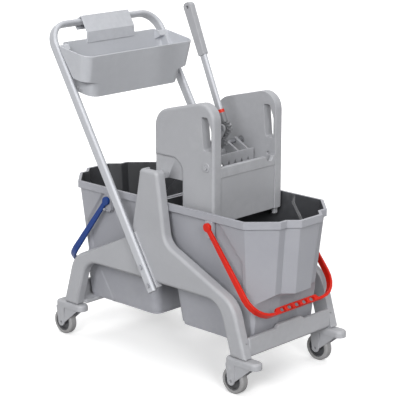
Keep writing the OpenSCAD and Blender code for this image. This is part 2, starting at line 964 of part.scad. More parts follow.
// Half the tooth's angle at radius r on a wheel of n teeth
function tooth_half(n, r) =
    let (base = gear_module * n / 2 * cos(pressure))
    90 / n + inv(pressure) - inv(acos(min(1, base / r))) - backlash / r * 90 / PI;
function tooth(n, at) =
    let (
        pitch = gear_module * n / 2,
        low = pitch - root * gear_module,
        high = pitch + tip * gear_module,
        radii = [for (i = [0:flank_steps]) low + (high - low) * i / flank_steps]
    )
    concat(
        [for (r = radii) r * [cos(at - tooth_half(n, max(r, pitch * cos(pressure)))),
                              sin(at - tooth_half(n, max(r, pitch * cos(pressure))))]],
        [for (i = [flank_steps:-1:0]) let (r = radii[i]) r * [cos(at + tooth_half(n, max(r, pitch * cos(pressure)))),
                                                             sin(at + tooth_half(n, max(r, pitch * cos(pressure))))]]
    );
function teeth(n, from, first, last) = [for (k = [first:last]) each tooth(n, from + k * 360 / n)];

module lever_bracket() {
    color(chassis_grey) {
        difference() {
            union() {
                upright(-plate_in, 2 * plate_in)
                    polygon([
                        [press_x - bush_d, press_z - bush_d - 2 * beam_half_h],
                        [press_x + shaft_d / 2, press_z - bush_d - 2 * beam_half_h],
                        [press_x + shaft_d / 2, press_z - bush_d],
                        [press_x - bush_d, press_z - bush_d]
                    ]);
                for (y = [-cheek_in - cheek_t, cheek_in])
                    upright(y, cheek_t) {
                        polygon([
                            [press_x - bush_d, press_z - bush_d - cut],
                            [press_x + shaft_d / 2, press_z - bush_d - cut],
                            [lever_x + shaft_d, lever_z - shaft_d / 2],
                            [lever_x - shaft_d / 2, lever_z + shaft_d]
                        ]);
                        translate([lever_x, lever_z])
                            circle(r = shaft_d / 2 + cheek_wall);
                    }
            }
            for (p = [[press_x, press_z], [lever_x, lever_z]])
                translate([0, -plate_in - cut, 0])
                    along_y(p.x, p.y)
                        cylinder(r = shaft_d / 2 + run, h = 2 * (plate_in + cut));
        }
    }
}

module press_bushes() {
    color(dark_grey)
        for (s = [0, 1])
            mirror([0, s, 0])
                translate([0, -plate_in - bush_flange, 0])
                    along_y(press_x, press_z)
                        difference() {
                            cylinder(d = bush_d - 2 * run, h = bush_flange);
                            translate([0, 0, -cut])
                                cylinder(r = shaft_d / 2 + run, h = bush_flange + 2 * cut);
                        }
}

module press_shaft() {
    color(bright_metal)
        translate([0, -plate_in - bush_flange - shaft_past, 0])
            along_y(press_x, press_z)
                cylinder(d = shaft_d, h = 2 * (plate_in + bush_flange + shaft_past));
}

arm_inner = 44;
arm_outer = 84;
arm_at = [arm_inner, arm_outer];
arm_t = 8;
eye_r = shaft_d / 2 + bush_wall;
press_drop = 14;
press_top = press_z - press_drop;
tri_half = 6;
tri_rows = 4;
tri_cols = 7;
tri_pitch = 26;

// Perforated plate with arms up to its shaft
module press_plate() {
    color(chassis_grey)
        difference() {
            union() {
                difference() {
                    translate([press_face - press_t, -press_half, press_top - press_h])
                        cube([press_t, 2 * press_half, press_h]);
                    for (i = [0:tri_cols - 1], j = [0:tri_rows - 1])
                        translate([press_face - press_t - cut, (i - (tri_cols - 1) / 2) * tri_pitch,
                                   press_top - tri_pitch * (j + 1)])
                            rotate([90, 0, 90])
                                linear_extrude(press_t + 2 * cut)
                                    polygon([[-tri_half, -tri_half], [tri_half, -tri_half], [0, tri_half]]);
                }
                for (s = [-1, 1], y = arm_at)
                    upright(s * y - arm_t / 2, arm_t) {
                        polygon([
                            [press_x, press_z + eye_r],
                            [press_x - eye_r / 2, press_z - eye_r],
                            [press_face - press_t, press_top - press_h / 3],
                            [press_face - press_t, press_top]
                        ]);
                        translate([press_x, press_z])
                            circle(r = eye_r);
                    }
            }
            translate([0, -plate_in, 0])
                along_y(press_x, press_z)
                    cylinder(r = shaft_d / 2 + run, h = 2 * plate_in);
        }
}

sector_first = -4;
sector_last = 0;

module press_sector() {
    color(dark_grey)
        difference() {
            translate([press_x, 0, press_z])
                rotate([90, 0, 0])
                    linear_extrude(gear_w, center = true) {
                        polygon(concat(
                            [[0, 0]],
                            teeth(sector_teeth, gear_dir + 180 / sector_teeth, sector_first, sector_last)
                        ));
                        circle(r = eye_r);
                    }
            translate([0, -gear_w, 0])
                along_y(press_x, press_z)
                    cylinder(r = shaft_d / 2 + run, h = 2 * gear_w);
        }
}

module lever_pin() {
    color(bright_metal)
        translate([0, -cheek_in - cheek_t - pin_out, 0])
            along_y(lever_x, lever_z)
                cylinder(d = shaft_d, h = 2 * (cheek_in + cheek_t + pin_out));
}

socket_from = 14;
socket_to = 42;
tube_from = 26;
socket_wall = 4;
socket_side = 2;
pin_out = 3;

module along_lever() {
    translate([lever_x, 0, lever_z])
        rotate([0, -lever_lean, 0])
            children();
}

module lever_hub() {
    color(dark_grey)
        difference() {
            union() {
                translate([lever_x, 0, lever_z])
                    rotate([90, 0, 0])
                        linear_extrude(gear_w, center = true)
                            polygon(teeth(pinion_teeth, gear_dir + 180, 0, pinion_teeth - 1));
                along_lever()
                    translate([0, 0, socket_from])
                        linear_extrude(socket_to - socket_from)
                            oval(lever_wide + 2 * socket_wall, gear_w + 2 * socket_side);
            }
            translate([0, -side_t, 0])
                along_y(lever_x, lever_z)
                    cylinder(r = shaft_d / 2 + run, h = 2 * side_t);
            along_lever()
                translate([0, 0, tube_from])
                    linear_extrude(socket_to)
                        oval(lever_wide + 2 * run, lever_thin + 2 * run);
        }
}

collar_h = 9;
collar_wall = 3;

module lever_collar() {
    color(bail_red)
        along_lever()
            translate([0, 0, socket_to])
                linear_extrude(collar_h)
                    difference() {
                        oval(lever_wide + 2 * collar_wall, lever_thin + 2 * collar_wall);
                        oval(lever_wide + 2 * run, lever_thin + 2 * run);
                    }
}

grip_sleeve = 20;

module lever_tube() {
    color(bright_metal)
        along_lever()
            translate([0, 0, tube_from])
                linear_extrude(lever_len - grip_len + grip_sleeve - tube_from)
                    difference() {
                        oval(lever_wide, lever_thin);
                        oval(lever_wide - 2 * tube_wall, lever_thin - 2 * tube_wall);
                    }
}

grip_taper = 3;
grip_low_r = 4;
grip_top_r = 12;
hang_in = hang_d * 1.4;

module lever_grip() {
    color(chassis_grey)
        along_lever()
            difference() {
                translate([0, grip_t / 2, 0])
                    rotate([90, 0, 0])
                        linear_extrude(grip_t)
                            polygon(rounded([
                                [-grip_w / 2 + grip_taper, lever_len - grip_len, grip_low_r],
                                [grip_w / 2 - grip_taper, lever_len - grip_len, grip_low_r],
                                [grip_w / 2, lever_len, grip_top_r],
                                [-grip_w / 2, lever_len, grip_top_r]
                            ]));
                translate([0, 0, lever_len - grip_len - cut])
                    linear_extrude(grip_sleeve + cut)
                        oval(lever_wide + 2 * run, lever_thin + 2 * run);
                translate([0, -grip_t, lever_len - hang_in])
                    rotate([-90, 0, 0])
                        cylinder(d = hang_d, h = 2 * grip_t);
            }
}

// Casters, counted from the handle end on the near side

axle_z = wheel_d / 2;
fork_drop = 2;
fork_top = leg_low - fork_drop;
wheel_side = 1.5;
fork_in = wheel_w / 2 + wheel_side;
fork_half = fork_in + fork_t;
tyre_t = 10;
hub_d = wheel_d - 2 * tyre_t;
hub_bore = axle_d / 2 + run;
swivel_disc = fork_drop - gap;
stem_short = 1;

module at_caster(i) {
    translate([(i < 3 ? -1 : 1) * swivel_x, (i % 2 == 1 ? -1 : 1) * swivel_y, 0])
        children();
}

module caster_stem(i) {
    color(bright_metal)
        at_caster(i) {
            translate([0, 0, fork_top - hood_h / 2])
                cylinder(d = stem_d, h = hood_h / 2 + leg_low - fork_top + stem_up - stem_short);
            translate([0, 0, fork_top + gap / 2])
                cylinder(d = 2 * stem_d, h = swivel_disc);
        }
}

hood_back = 20;
hood_round = 8;
hood_corner_r = 9;
nose_flat = 1;
leg_front = 15;
boss_r = 12;
web_t = 3;
hood_outline = rounded([
    [-trail - hood_back, -fork_half, hood_corner_r],
    [hood_front, -fork_half, fork_half - nose_flat],
    [hood_front, fork_half, fork_half - nose_flat],
    [-trail - hood_back, fork_half, hood_corner_r]
]);

// Hood with a long round nose, two legs flush with its sides and a thin web in front of each leg
module caster_fork(i) {
    hood_low = fork_top - hood_h;
    color(chassis_grey)
        at_caster(i)
            difference() {
                union() {
                    translate([0, 0, hood_low])
                        slab(hood_outline, hood_h, hood_round);
                    for (s = [0, 1])
                        mirror([0, s, 0]) {
                            upright(fork_in, fork_t) {
                                translate([-trail, axle_z])
                                    circle(r = boss_r);
                                polygon([
                                    [-trail - boss_r, axle_z],
                                    [-trail + boss_r, axle_z],
                                    [-trail + leg_front, hood_low + cut],
                                    [-trail - hood_back + cut, hood_low + cut]
                                ]);
                            }
                            upright(fork_in, web_t)
                                polygon([
                                    [-trail, axle_z],
                                    [-trail + boss_r, axle_z],
                                    [hood_front - fork_half, hood_low + cut],
                                    [-trail, hood_low + cut]
                                ]);
                        }
                }
                translate([0, 0, fork_top - hood_h / 2 - cut])
                    cylinder(r = stem_d / 2 + run, h = hood_h);
                translate([-trail, fork_half + cut, axle_z])
                    rotate([90, 0, 0])
                        cylinder(r = axle_d / 2 + run, h = 2 * (fork_half + cut));
            }
}

axle_sunk = 2;

module caster_axle(i) {
    color(dark_grey)
        at_caster(i)
            translate([-trail, 0, axle_z])
                rotate([90, 0, 0])
                    cylinder(d = axle_d, h = 2 * (fork_half - axle_sunk), center = true);
}

hub_web = 8;
hub_rim = 5;
hub_side = 0.5;
hub_boss = 5;
hub_slope = 1;
tyre_lip = 2;

module caster_hub(i) {
    color(dark_grey)
        at_caster(i)
            translate([-trail, 0, axle_z])
                rotate([90, 0, 0])
                    rotate_extrude()
                        polygon([
                            [hub_bore, -fork_in + hub_side],
                            [hub_bore + hub_boss, -fork_in + hub_side],
                            [hub_bore + hub_boss + hub_slope, -hub_web / 2],
                            [hub_d / 2 - hub_rim, -hub_web / 2],
                            [hub_d / 2 - hub_rim + hub_slope, -wheel_w / 2 + tyre_lip],
                            [hub_d / 2, -wheel_w / 2 + tyre_lip],
                            [hub_d / 2, wheel_w / 2 - tyre_lip],
                            [hub_d / 2 - hub_rim + hub_slope, wheel_w / 2 - tyre_lip],
                            [hub_d / 2 - hub_rim, hub_web / 2],
                            [hub_bore + hub_boss + hub_slope, hub_web / 2],
                            [hub_bore + hub_boss, fork_in - hub_side],
                            [hub_bore, fork_in - hub_side]
                        ]);
}

tyre_round = 5;

module caster_tyre(i) {
    color(dark_grey)
        at_caster(i)
            translate([-trail, 0, axle_z])
                rotate([90, 0, 0])
                    rotate_extrude()
                        polygon(rounded([
                            [hub_d / 2, -wheel_w / 2, 0],
                            [wheel_d / 2, -wheel_w / 2, tyre_round],
                            [wheel_d / 2, wheel_w / 2, tyre_round],
                            [hub_d / 2, wheel_w / 2, 0]
                        ]));
}

side_frame_near();
side_frame_far();
end_beam_left();
end_beam_right();
centre_bridge();
handle_tube();
handle_plugs();
handle_bolts();
bucket_left();
bucket_right();
bail_ears_left();
bail_ears_right();
bail_left();
bail_right();
basket();
wringer_side_near();
wringer_side_far();
wringer_box();
wringer_screws();
lever_bracket();
press_bushes();
press_shaft();
press_plate();
press_sector();
lever_pin();
lever_hub();
lever_collar();
lever_tube();
lever_grip();
caster_stem(1);  // caster_stem_1
caster_fork(1);  // caster_fork_1
caster_axle(1);  // caster_axle_1
caster_hub(1);  // caster_hub_1
caster_tyre(1);  // caster_tyre_1
caster_stem(2);  // caster_stem_2
caster_fork(2);  // caster_fork_2
caster_axle(2);  // caster_axle_2
caster_hub(2);  // caster_hub_2
caster_tyre(2);  // caster_tyre_2
caster_stem(3);  // caster_stem_3
caster_fork(3);  // caster_fork_3
caster_axle(3);  // caster_axle_3
caster_hub(3);  // caster_hub_3
caster_tyre(3);  // caster_tyre_3
caster_stem(4);  // caster_stem_4
caster_fork(4);  // caster_fork_4
caster_axle(4);  // caster_axle_4
caster_hub(4);  // caster_hub_4
caster_tyre(4);  // caster_tyre_4
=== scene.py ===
"""Looks for a double mop bucket trolley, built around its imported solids.

Every piece stands in the same frame as the solids: metres, +X along the trolley away from the
push handle, +Y across it, +Z up, with the origin on the floor under the middle.
"""
import json
import logging
import math
from dataclasses import dataclass, field
from enum import Enum
from functools import partial
from typing import Callable, Iterable

import bmesh
import bpy
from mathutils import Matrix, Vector


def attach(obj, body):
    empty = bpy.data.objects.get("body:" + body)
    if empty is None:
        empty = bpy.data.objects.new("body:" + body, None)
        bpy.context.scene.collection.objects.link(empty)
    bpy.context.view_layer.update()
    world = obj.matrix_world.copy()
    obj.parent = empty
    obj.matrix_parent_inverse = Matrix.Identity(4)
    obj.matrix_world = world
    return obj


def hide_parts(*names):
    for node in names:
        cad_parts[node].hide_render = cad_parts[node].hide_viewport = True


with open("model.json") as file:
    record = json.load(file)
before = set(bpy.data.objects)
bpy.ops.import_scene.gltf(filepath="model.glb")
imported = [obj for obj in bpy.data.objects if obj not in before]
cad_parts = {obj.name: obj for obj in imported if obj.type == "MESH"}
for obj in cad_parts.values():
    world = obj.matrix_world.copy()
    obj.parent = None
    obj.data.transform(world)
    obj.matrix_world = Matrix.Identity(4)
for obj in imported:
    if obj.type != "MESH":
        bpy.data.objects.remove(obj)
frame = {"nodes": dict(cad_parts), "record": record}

LOG = logging.getLogger("mop_trolley")
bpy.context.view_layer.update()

Colour = tuple[float, float, float]
Span = tuple[float, float]
Value = bpy.types.NodeSocket | float
EdgeTest = Callable[[Vector], bool]

WHITE = (1.0, 1.0, 1.0, 1.0)
DUST: Colour = (178, 172, 162)
HANDLE_LEAN = math.radians(31.0)
SAME_POINT = 2e-6
SAME_PLANE = math.radians(0.4)
SHARP_EDGE = math.radians(32.0)
CREASE = 38.0
FACE_WEIGHT = 95


class Slot(Enum):
    """Material slots of the record."""

    CHASSIS = "chassis_plastic"
    BUCKET = "bucket_plastic"
    BASKET = "basket_plastic"
    RED = "red_plastic"
    BLUE = "blue_plastic"
    TUBE = "tube_metal"
    STEEL = "steel"
    DARK = "dark_plastic"
    HUB = "hub_plastic"
    TREAD = "tread_rubber"


def linear(colour: Colour) -> tuple[float, float, float, float]:
    """Turns a display colour into the linear colour that a shader takes.

    Args:
        colour: red, green and blue from 0 to 255.

    Returns:
        Linear red, green, blue and a full alpha.
    """
    def channel(value: float) -> float:
        share = value / 255.0
        return share / 12.92 if share <= 0.04045 else ((share + 0.055) / 1.055) ** 2.4

    return (*(channel(value) for value in colour), 1.0)


# Shader node groups


class NodeGroup:
    """A shader group under construction, with helpers for its nodes and sockets."""

    def __init__(self, name: str, takes: dict[str, float], gives: tuple[str, ...]) -> None:
        """Starts a group of number inputs and outputs.

        Args:
            name: the group's name.
            takes: the inputs, with their default values.
            gives: the outputs.
        """
        self.tree = bpy.data.node_groups.new(name, "ShaderNodeTree")
        self.source = self.tree.nodes.new("NodeGroupInput")
        self.sink = self.tree.nodes.new("NodeGroupOutput")
        for key, value in takes.items():
            socket = self.tree.interface.new_socket(key, in_out="INPUT", socket_type="NodeSocketFloat")
            socket.default_value = value
        for key in gives:
            self.tree.interface.new_socket(key, in_out="OUTPUT", socket_type="NodeSocketFloat")

    def taken(self, name: str) -> bpy.types.NodeSocket:
        """Finds an input of the group.

        Args:
            name: the input's name.

        Returns:
            The socket that gives it inside the group.
        """
        return self.source.outputs[name]

    def give(self, name: str, value: bpy.types.NodeSocket) -> None:
        """Links a socket to an output of the group.

        Args:
            name: the output's name.
            value: socket that feeds it.
        """
        self.tree.links.new(value, self.sink.inputs[name])

    def node(self, kind: str, **settings: object) -> bpy.types.Node:
        """Adds a node and sets its properties.

        Args:
            kind: Blender's name of the node type.
            settings: properties to set.

        Returns:
            The node.
        """
        made = self.tree.nodes.new(kind)
        for key, value in settings.items():
            setattr(made, key, value)
        return made

    def feed(self, place: bpy.types.NodeSocket, value: Value) -> None:
        """Gives an input its number, or links it to a socket.

        Args:
            place: the input.
            value: number or socket.
        """
        if isinstance(value, (int, float)):
            place.default_value = value
        else:
            self.tree.links.new(value, place)

    def where(self) -> bpy.types.NodeSocket:
        """Adds the place on the object.

        Returns:
            The socket of the object's coordinates.
        """
        return self.node("ShaderNodeTexCoord").outputs["Object"]

    def parts(self, vector: bpy.types.NodeSocket) -> bpy.types.NodeOutputs:
        """Splits a vector.

        Args:
            vector: socket to split.

        Returns:
            The sockets X, Y and Z.
        """
        made = self.node("ShaderNodeSeparateXYZ")
        self.feed(made.inputs[0], vector)
        return made.outputs

    def facing(self) -> bpy.types.NodeOutputs:
        """Adds the direction that the surface looks in.

        Returns:
            Its sockets X, Y and Z.
        """
        return self.parts(self.node("ShaderNodeNewGeometry").outputs["Normal"])

    def noise(self, where: bpy.types.NodeSocket, scale: Value, detail: float = 2.0) -> bpy.types.NodeSocket:
        """Adds a noise texture.

        Args:
            where: socket of the coordinates.
            scale: number or socket for its scale.
            detail: layers of finer noise.

        Returns:
            The noise socket, from 0 to 1.
        """
        made = self.node("ShaderNodeTexNoise")
        made.inputs["Detail"].default_value = detail
        self.feed(made.inputs["Vector"], where)
        self.feed(made.inputs["Scale"], scale)
        return made.outputs["Fac"]

    def maths(self, operation: str, a: Value, b: Value = 0.0) -> bpy.types.NodeSocket:
        """Adds a math node on two sockets or numbers.

        Args:
            operation: Blender's name of the operation.
            a: first socket or number.
            b: second socket or number, where the operation takes one.

        Returns:
            The node's result socket.
        """
        made = self.node("ShaderNodeMath", operation=operation)
        for place, value in zip(made.inputs, (a, b)):
            self.feed(place, value)
        return made.outputs[0]

    def ramp(self, value: bpy.types.NodeSocket, start: Span, end: Span = (0.0, 1.0)) -> bpy.types.NodeSocket:
        """Maps a value from one span to another, clamped.

        Args:
            value: socket to map.
            start: span of the value.
            end: span of the result.

        Returns:
            The mapped socket.
        """
        made = self.node("ShaderNodeMapRange", clamp=True)
        self.feed(made.inputs["Value"], value)
        for key, number in zip(("From Min", "From Max", "To Min", "To Max"), (*start, *end)):
            made.inputs[key].default_value = number
        return made.outputs["Result"]


@dataclass(frozen=True)
class MouldGrain:
    """Fine grain of a moulded surface: pebbled height, slow tone and slow gloss change."""

    pebbles: float = 900.0
    clouds: float = 6.0
    cloud_detail: float = 4.0
    cloud_share: float = 0.75
    flecks: float = 70.0
    fleck_detail: float = 3.0
    tone: Span = (0.3, 0.7)
    gloss: Span = (0.35, 0.65)

    def build(self) -> bpy.types.NodeTree:
        """Makes the group.

        Returns:
            The group, with outputs Height, Tone and Gloss.
        """
        group = NodeGroup("mould_grain", {"Pebbles": self.pebbles, "Clouds": self.clouds}, ("Height", "Tone", "Gloss"))
        where = group.where()
        pebbles = group.noise(where, group.taken("Pebbles"))
        clouds = group.noise(where, group.taken("Clouds"), self.cloud_detail)
        flecks = group.noise(where, self.flecks, self.fleck_detail)
        mixed = group.maths("ADD", group.maths("MULTIPLY", clouds, self.cloud_share),
                            group.maths("MULTIPLY", flecks, 1.0 - self.cloud_share))
        group.give("Height", pebbles)
        group.give("Tone", group.ramp(mixed, self.tone))
        group.give("Gloss", group.ramp(flecks, self.gloss))
        return group.tree


@dataclass(frozen=True)
class EdgeScuff:
    """Worn edges: where the surface is bent outwards, broken up by noise."""

    breakup: float = 55.0
    detail: float = 5.0
    bent: Span = (0.51, 0.62)
    broken: Span = (0.42, 0.62)

    def build(self) -> bpy.types.NodeTree:
        """Makes the group.

        Returns:
            The group, with output Scuff.
        """
        group = NodeGroup("edge_scuff", {"Breakup": self.breakup}, ("Scuff",))
        bent = group.node("ShaderNodeNewGeometry").outputs["Pointiness"]
        noise = group.noise(group.where(), group.taken("Breakup"), self.detail)
        group.give("Scuff", group.maths("MULTIPLY", group.ramp(bent, self.bent), group.ramp(noise, self.broken)))
        return group.tree


@dataclass(frozen=True)
class SettledDust:
    """Dust: thicker near the floor and on faces that look up."""

    reach: float = 0.3
    upward: Span = (0.4, 1.0)
    cover: Span = (0.25, 1.0)
    patches: float = 18.0
    patch_detail: float = 6.0
    patch: Span = (0.38, 0.68)

    def build(self) -> bpy.types.NodeTree:
        """Makes the group.

        Returns:
            The group, with output Dust.
        """
        group = NodeGroup("settled_dust", {"Reach": self.reach}, ("Dust",))
        where = group.where()
        height = group.maths("DIVIDE", group.parts(where)["Z"], group.taken("Reach"))
        near_floor = group.ramp(height, (0.0, 1.0), (1.0, 0.0))
        upward = group.ramp(group.facing()["Z"], self.upward, self.cover)
        patch = group.ramp(group.noise(where, self.patches, self.patch_detail), self.patch)
        group.give("Dust", group.maths("MULTIPLY", group.maths("MULTIPLY", near_floor, upward), patch))
        return group.tree


@dataclass(frozen=True)
class DrawnLines:
    """Long fine lines that drawing leaves along a tube."""

    lean: float = 0.0
    fineness: float = 420.0
    detail: float = 3.0
    stretch: float = 0.02
    clouds: float = 9.0

    def build(self) -> bpy.types.NodeTree:
        """Makes the group.

        Returns:
            The group, with outputs Line and Cloud.
        """
        group = NodeGroup("drawn_lines", {"Lean": self.lean, "Fineness": self.fineness}, ("Line", "Cloud"))
        where = group.where()
        turned = group.node("ShaderNodeVectorRotate", rotation_type="Y_AXIS")
        group.feed(turned.inputs["Vector"], where)
        group.feed(turned.inputs["Angle"], group.taken("Lean"))
        stretched = group.node("ShaderNodeVectorMath", operation="MULTIPLY")
        group.feed(stretched.inputs[0], turned.outputs[0])
        stretched.inputs[1].default_value = (1.0, 1.0, self.stretch)
        group.give("Line", group.noise(stretched.outputs[0], group.taken("Fineness"), self.detail))
        group.give("Cloud", group.noise(where, self.clouds))
        return group.tree


@dataclass(frozen=True)
class InsideShade:
    """Painted shade on the inner faces of the two buckets, which look towards their bucket's middle, and on the faces
    that look up inside them.
    """

    middle: float = 0.2
    rim: float = 0.462
    half: float = 0.15
    cross: float = 2.0
    inward: Span = (-0.05, -0.01)
    ledge: Span = (0.15, 0.4)

    def build(self) -> bpy.types.NodeTree:
        """Makes the group.

        Returns:
            The group, with one output: how much painted shade a point takes.
        """
        group = NodeGroup("inside_shade", {"Middle": self.middle, "Rim": self.rim, "Half": self.half,
                                           "Cross": self.cross}, ("Inside",))
        where = group.parts(group.where())
        facing = group.facing()
        side = group.maths("SIGN", where["X"])
        along = group.maths("SUBTRACT", group.maths("ABSOLUTE", where["X"]), group.taken("Middle"))
        ends = group.maths("MULTIPLY", group.maths("MULTIPLY", facing["X"], side), along)
        sides = group.maths("MULTIPLY", group.maths("MULTIPLY", facing["Y"], where["Y"]), group.taken("Cross"))
        walls = group.ramp(group.maths("ADD", ends, sides), self.inward, (1.0, 0.0))
        low = group.maths("LESS_THAN", where["Z"], group.taken("Rim"))
        within = group.maths("LESS_THAN", group.maths("ABSOLUTE", where["Y"]), group.taken("Half"))
        ledges = group.maths("MULTIPLY", group.ramp(facing["Z"], self.ledge), group.maths("MULTIPLY", low, within))
        group.give("Inside", group.maths("MAXIMUM", walls, ledges))
        return group.tree


@dataclass
class Effects:
    """The shader groups that the finishes share."""

    grain: bpy.types.NodeTree = field(default_factory=MouldGrain().build)
    scuff: bpy.types.NodeTree = field(default_factory=EdgeScuff().build)
    dust: bpy.types.NodeTree = field(default_factory=SettledDust().build)
    lines: bpy.types.NodeTree = field(default_factory=DrawnLines().build)
    # Painted shade for the inner faces of the buckets.
    inside: bpy.types.NodeTree = field(default_factory=InsideShade().build)


# Finishes


@dataclass(frozen=True)
class Relief:
    """Fine relief of a surface: its depth in metres and the share of it that shows."""

    depth: float
    share: float


class Shader:
    """A material under construction around one Principled shader."""

    def __init__(self, name: str) -> None:
        """Starts a material and keeps its main shader.

        Args:
            name: the material's name.
        """
        self.material = bpy.data.materials.new(name)
        self.material.use_nodes = True
        self.tree = self.material.node_tree
        self.main = self.tree.nodes["Principled BSDF"]

    def group(self, tree: bpy.types.NodeTree, **values: float) -> bpy.types.NodeOutputs:
        """Places a shared group with its own values.

        Args:
            tree: the group.
            values: numbers for its inputs.

        Returns:
            The outputs of the group.
        """
        made = self.tree.nodes.new("ShaderNodeGroup")
        made.node_tree = tree
        for key, value in values.items():
            made.inputs[key].default_value = value
        return made.outputs

    def blend(self, amount: bpy.types.NodeSocket, low: object, high: object,
              most: float = 1.0) -> bpy.types.NodeSocket:
        """Mixes two colours by a mask.

        Args:
            amount: mask from 0 to 1.
            low: colour or socket where the mask is 0.
            high: colour or socket where the mask is 1.
            most: share of the second colour where the mask is 1.

        Returns:
            The mixed colour socket.
        """
        scaled = self.span(amount, (0.0, most))
        mix = self.tree.nodes.new("ShaderNodeMix")
        mix.data_type = "RGBA"
        self.tree.links.new(scaled, mix.inputs["Factor"])
        for key, value in (("A", low), ("B", high)):
            socket = next(place for place in mix.inputs if place.name == key and place.type == "RGBA")
            if isinstance(value, tuple):
                socket.default_value = value
            else:
                self.tree.links.new(value, socket)
        return next(place for place in mix.outputs if place.type == "RGBA")

    def span(self, value: bpy.types.NodeSocket, end: Span) -> bpy.types.NodeSocket:
        """Maps a value from 0 to 1 onto another span.

        Args:
            value: socket to map.
            end: span of the result.

        Returns:
            The mapped socket.
        """
        made = self.tree.nodes.new("ShaderNodeMapRange")
        self.tree.links.new(value, made.inputs["Value"])
        made.inputs["To Min"].default_value, made.inputs["To Max"].default_value = end
        return made.outputs["Result"]

    def bump(self, height: bpy.types.NodeSocket, relief: Relief) -> None:
        """Adds relief to the surface.

        Args:
            height: height socket from 0 to 1.
            relief: depth and strength of the relief.
        """
        made = self.tree.nodes.new("ShaderNodeBump")
        made.inputs["Distance"].default_value = relief.depth
        made.inputs["Strength"].default_value = relief.share
        self.tree.links.new(height, made.inputs["Height"])
        self.feed("Normal", made.outputs["Normal"])

    def feed(self, name: str, socket: bpy.types.NodeSocket) -> None:
        """Links a socket to an input of the main shader.

        Args:
            name: the input's name.
            socket: socket that feeds it.
        """
        self.tree.links.new(socket, self.main.inputs[name])

    def set(self, **values: object) -> None:
        """Gives inputs of the main shader a value that is the same all over.

        Args:
            values: values by input name, with _ for a space.
        """
        for key, value in values.items():
            self.main.inputs[key.replace("_", " ")].default_value = value


@dataclass(frozen=True)
class MouldedPlastic:
    """Grey or coloured moulding with fine grain, pale scuffs, a little dust low down and, where a colour is given,
    painted shade on the inner faces of the buckets.
    """

    slot: Slot
    colour: Colour
    deep: Colour
    scuffed: Colour
    roughness: Span = (0.42, 0.54)
    relief: Relief = Relief(0.0004, 0.12)
    scuff_most: float = 0.35
    dust_most: float = 0.12
    shine: float = 0.5
    # colour of the painted shade on the buckets' inner faces, if any
    inside: Colour | None = None

    def build(self, effects: Effects) -> bpy.types.Material:
        """Makes the material.

        Args:
            effects: the shared shader groups.

        Returns:
            The material.
        """
        shader = Shader(self.slot.value)
        grain = shader.group(effects.grain)
        base = shader.blend(grain["Tone"], linear(self.deep), linear(self.colour))
        # Painted shade: the buckets' inner faces are darkened towards the given colour.
        if self.inside:
            base = shader.blend(shader.group(effects.inside)["Inside"], base, linear(self.inside))
        worn = shader.blend(shader.group(effects.scuff)["Scuff"], base, linear(self.scuffed), self.scuff_most)
        dusty = shader.blend(shader.group(effects.dust)["Dust"], worn, linear(DUST), self.dust_most)
        shader.feed("Base Color", dusty)
        shader.feed("Roughness", shader.span(grain["Gloss"], self.roughness))
        shader.set(Specular_IOR_Level=self.shine)
        shader.bump(grain["Height"], self.relief)
        return shader.material


@dataclass(frozen=True)
class DrawnMetal:
    """Bright drawn metal with long fine lines."""

    slot: Slot
    colour: Colour
    shade: Colour
    lean: float
    roughness: Span
    relief: Relief = Relief(0.0001, 0.15)

    def build(self, effects: Effects) -> bpy.types.Material:
        """Makes the material.

        Args:
            effects: the shared shader groups.

        Returns:
            The material.
        """
        shader = Shader(self.slot.value)
        lines = shader.group(effects.lines, Lean=self.lean)
        shader.feed("Base Color", shader.blend(lines["Line"], linear(self.shade), linear(self.colour)))
        shader.feed("Roughness", shader.span(lines["Cloud"], self.roughness))
        shader.set(Metallic=1.0)
        shader.bump(lines["Line"], self.relief)
        return shader.material


@dataclass(frozen=True)
class TreadRubber:
    """Grey rubber with a floor-worn, slightly dusty running face."""

    slot: Slot
    colour: Colour
    worn: Colour
    pebbles: float = 500.0
    clouds: float = 40.0
    roughness: Span = (0.6, 0.8)
    relief: Relief = Relief(0.0005, 0.2)

    def build(self, effects: Effects) -> bpy.types.Material:
        """Makes the material.

        Args:
            effects: the shared shader groups.

        Returns:
            The material.
        """
        shader = Shader(self.slot.value)
        grain = shader.group(effects.grain, Pebbles=self.pebbles, Clouds=self.clouds)
        shader.feed("Base Color", shader.blend(grain["Tone"], linear(self.colour), linear(self.worn)))
        shader.feed("Roughness", shader.span(grain["Gloss"], self.roughness))
        shader.bump(grain["Height"], self.relief)
        return shader.material


BAIL_RELIEF = Relief(0.0004, 0.06)
FINISHES: tuple[MouldedPlastic | DrawnMetal | TreadRubber, ...] = (
    MouldedPlastic(Slot.CHASSIS, (164, 165, 169), (155, 156, 160), (190, 191, 194)),
    # The dark colour (54, 55, 58) is painted shade inside the buckets.
    MouldedPlastic(Slot.BUCKET, (158, 159, 165), (149, 150, 157), (184, 185, 190), inside=(54, 55, 58)),
    MouldedPlastic(Slot.BASKET, (186, 188, 193), (178, 180, 185), (203, 204, 208)),
    MouldedPlastic(Slot.RED, (206, 26, 0), (192, 20, 0), (228, 84, 40), (0.34, 0.46), BAIL_RELIEF,
                   dust_most=0.02, shine=0.3),
    MouldedPlastic(Slot.BLUE, (4, 54, 126), (2, 44, 112), (82, 122, 178), (0.3, 0.42), BAIL_RELIEF,
                   dust_most=0.02, shine=0.3),
    DrawnMetal(Slot.TUBE, (186, 187, 191), (170, 172, 176), HANDLE_LEAN, (0.66, 0.76)),
    DrawnMetal(Slot.STEEL, (176, 177, 181), (152, 153, 158), 0.0, (0.4, 0.55)),
    MouldedPlastic(Slot.DARK, (124, 125, 128), (114, 115, 118), (150, 151, 154)),
    MouldedPlastic(Slot.HUB, (66, 67, 70), (56, 57, 60), (96, 97, 100)),
    TreadRubber(Slot.TREAD, (150, 150, 152), (136, 135, 134)),
)


# Modelling helpers


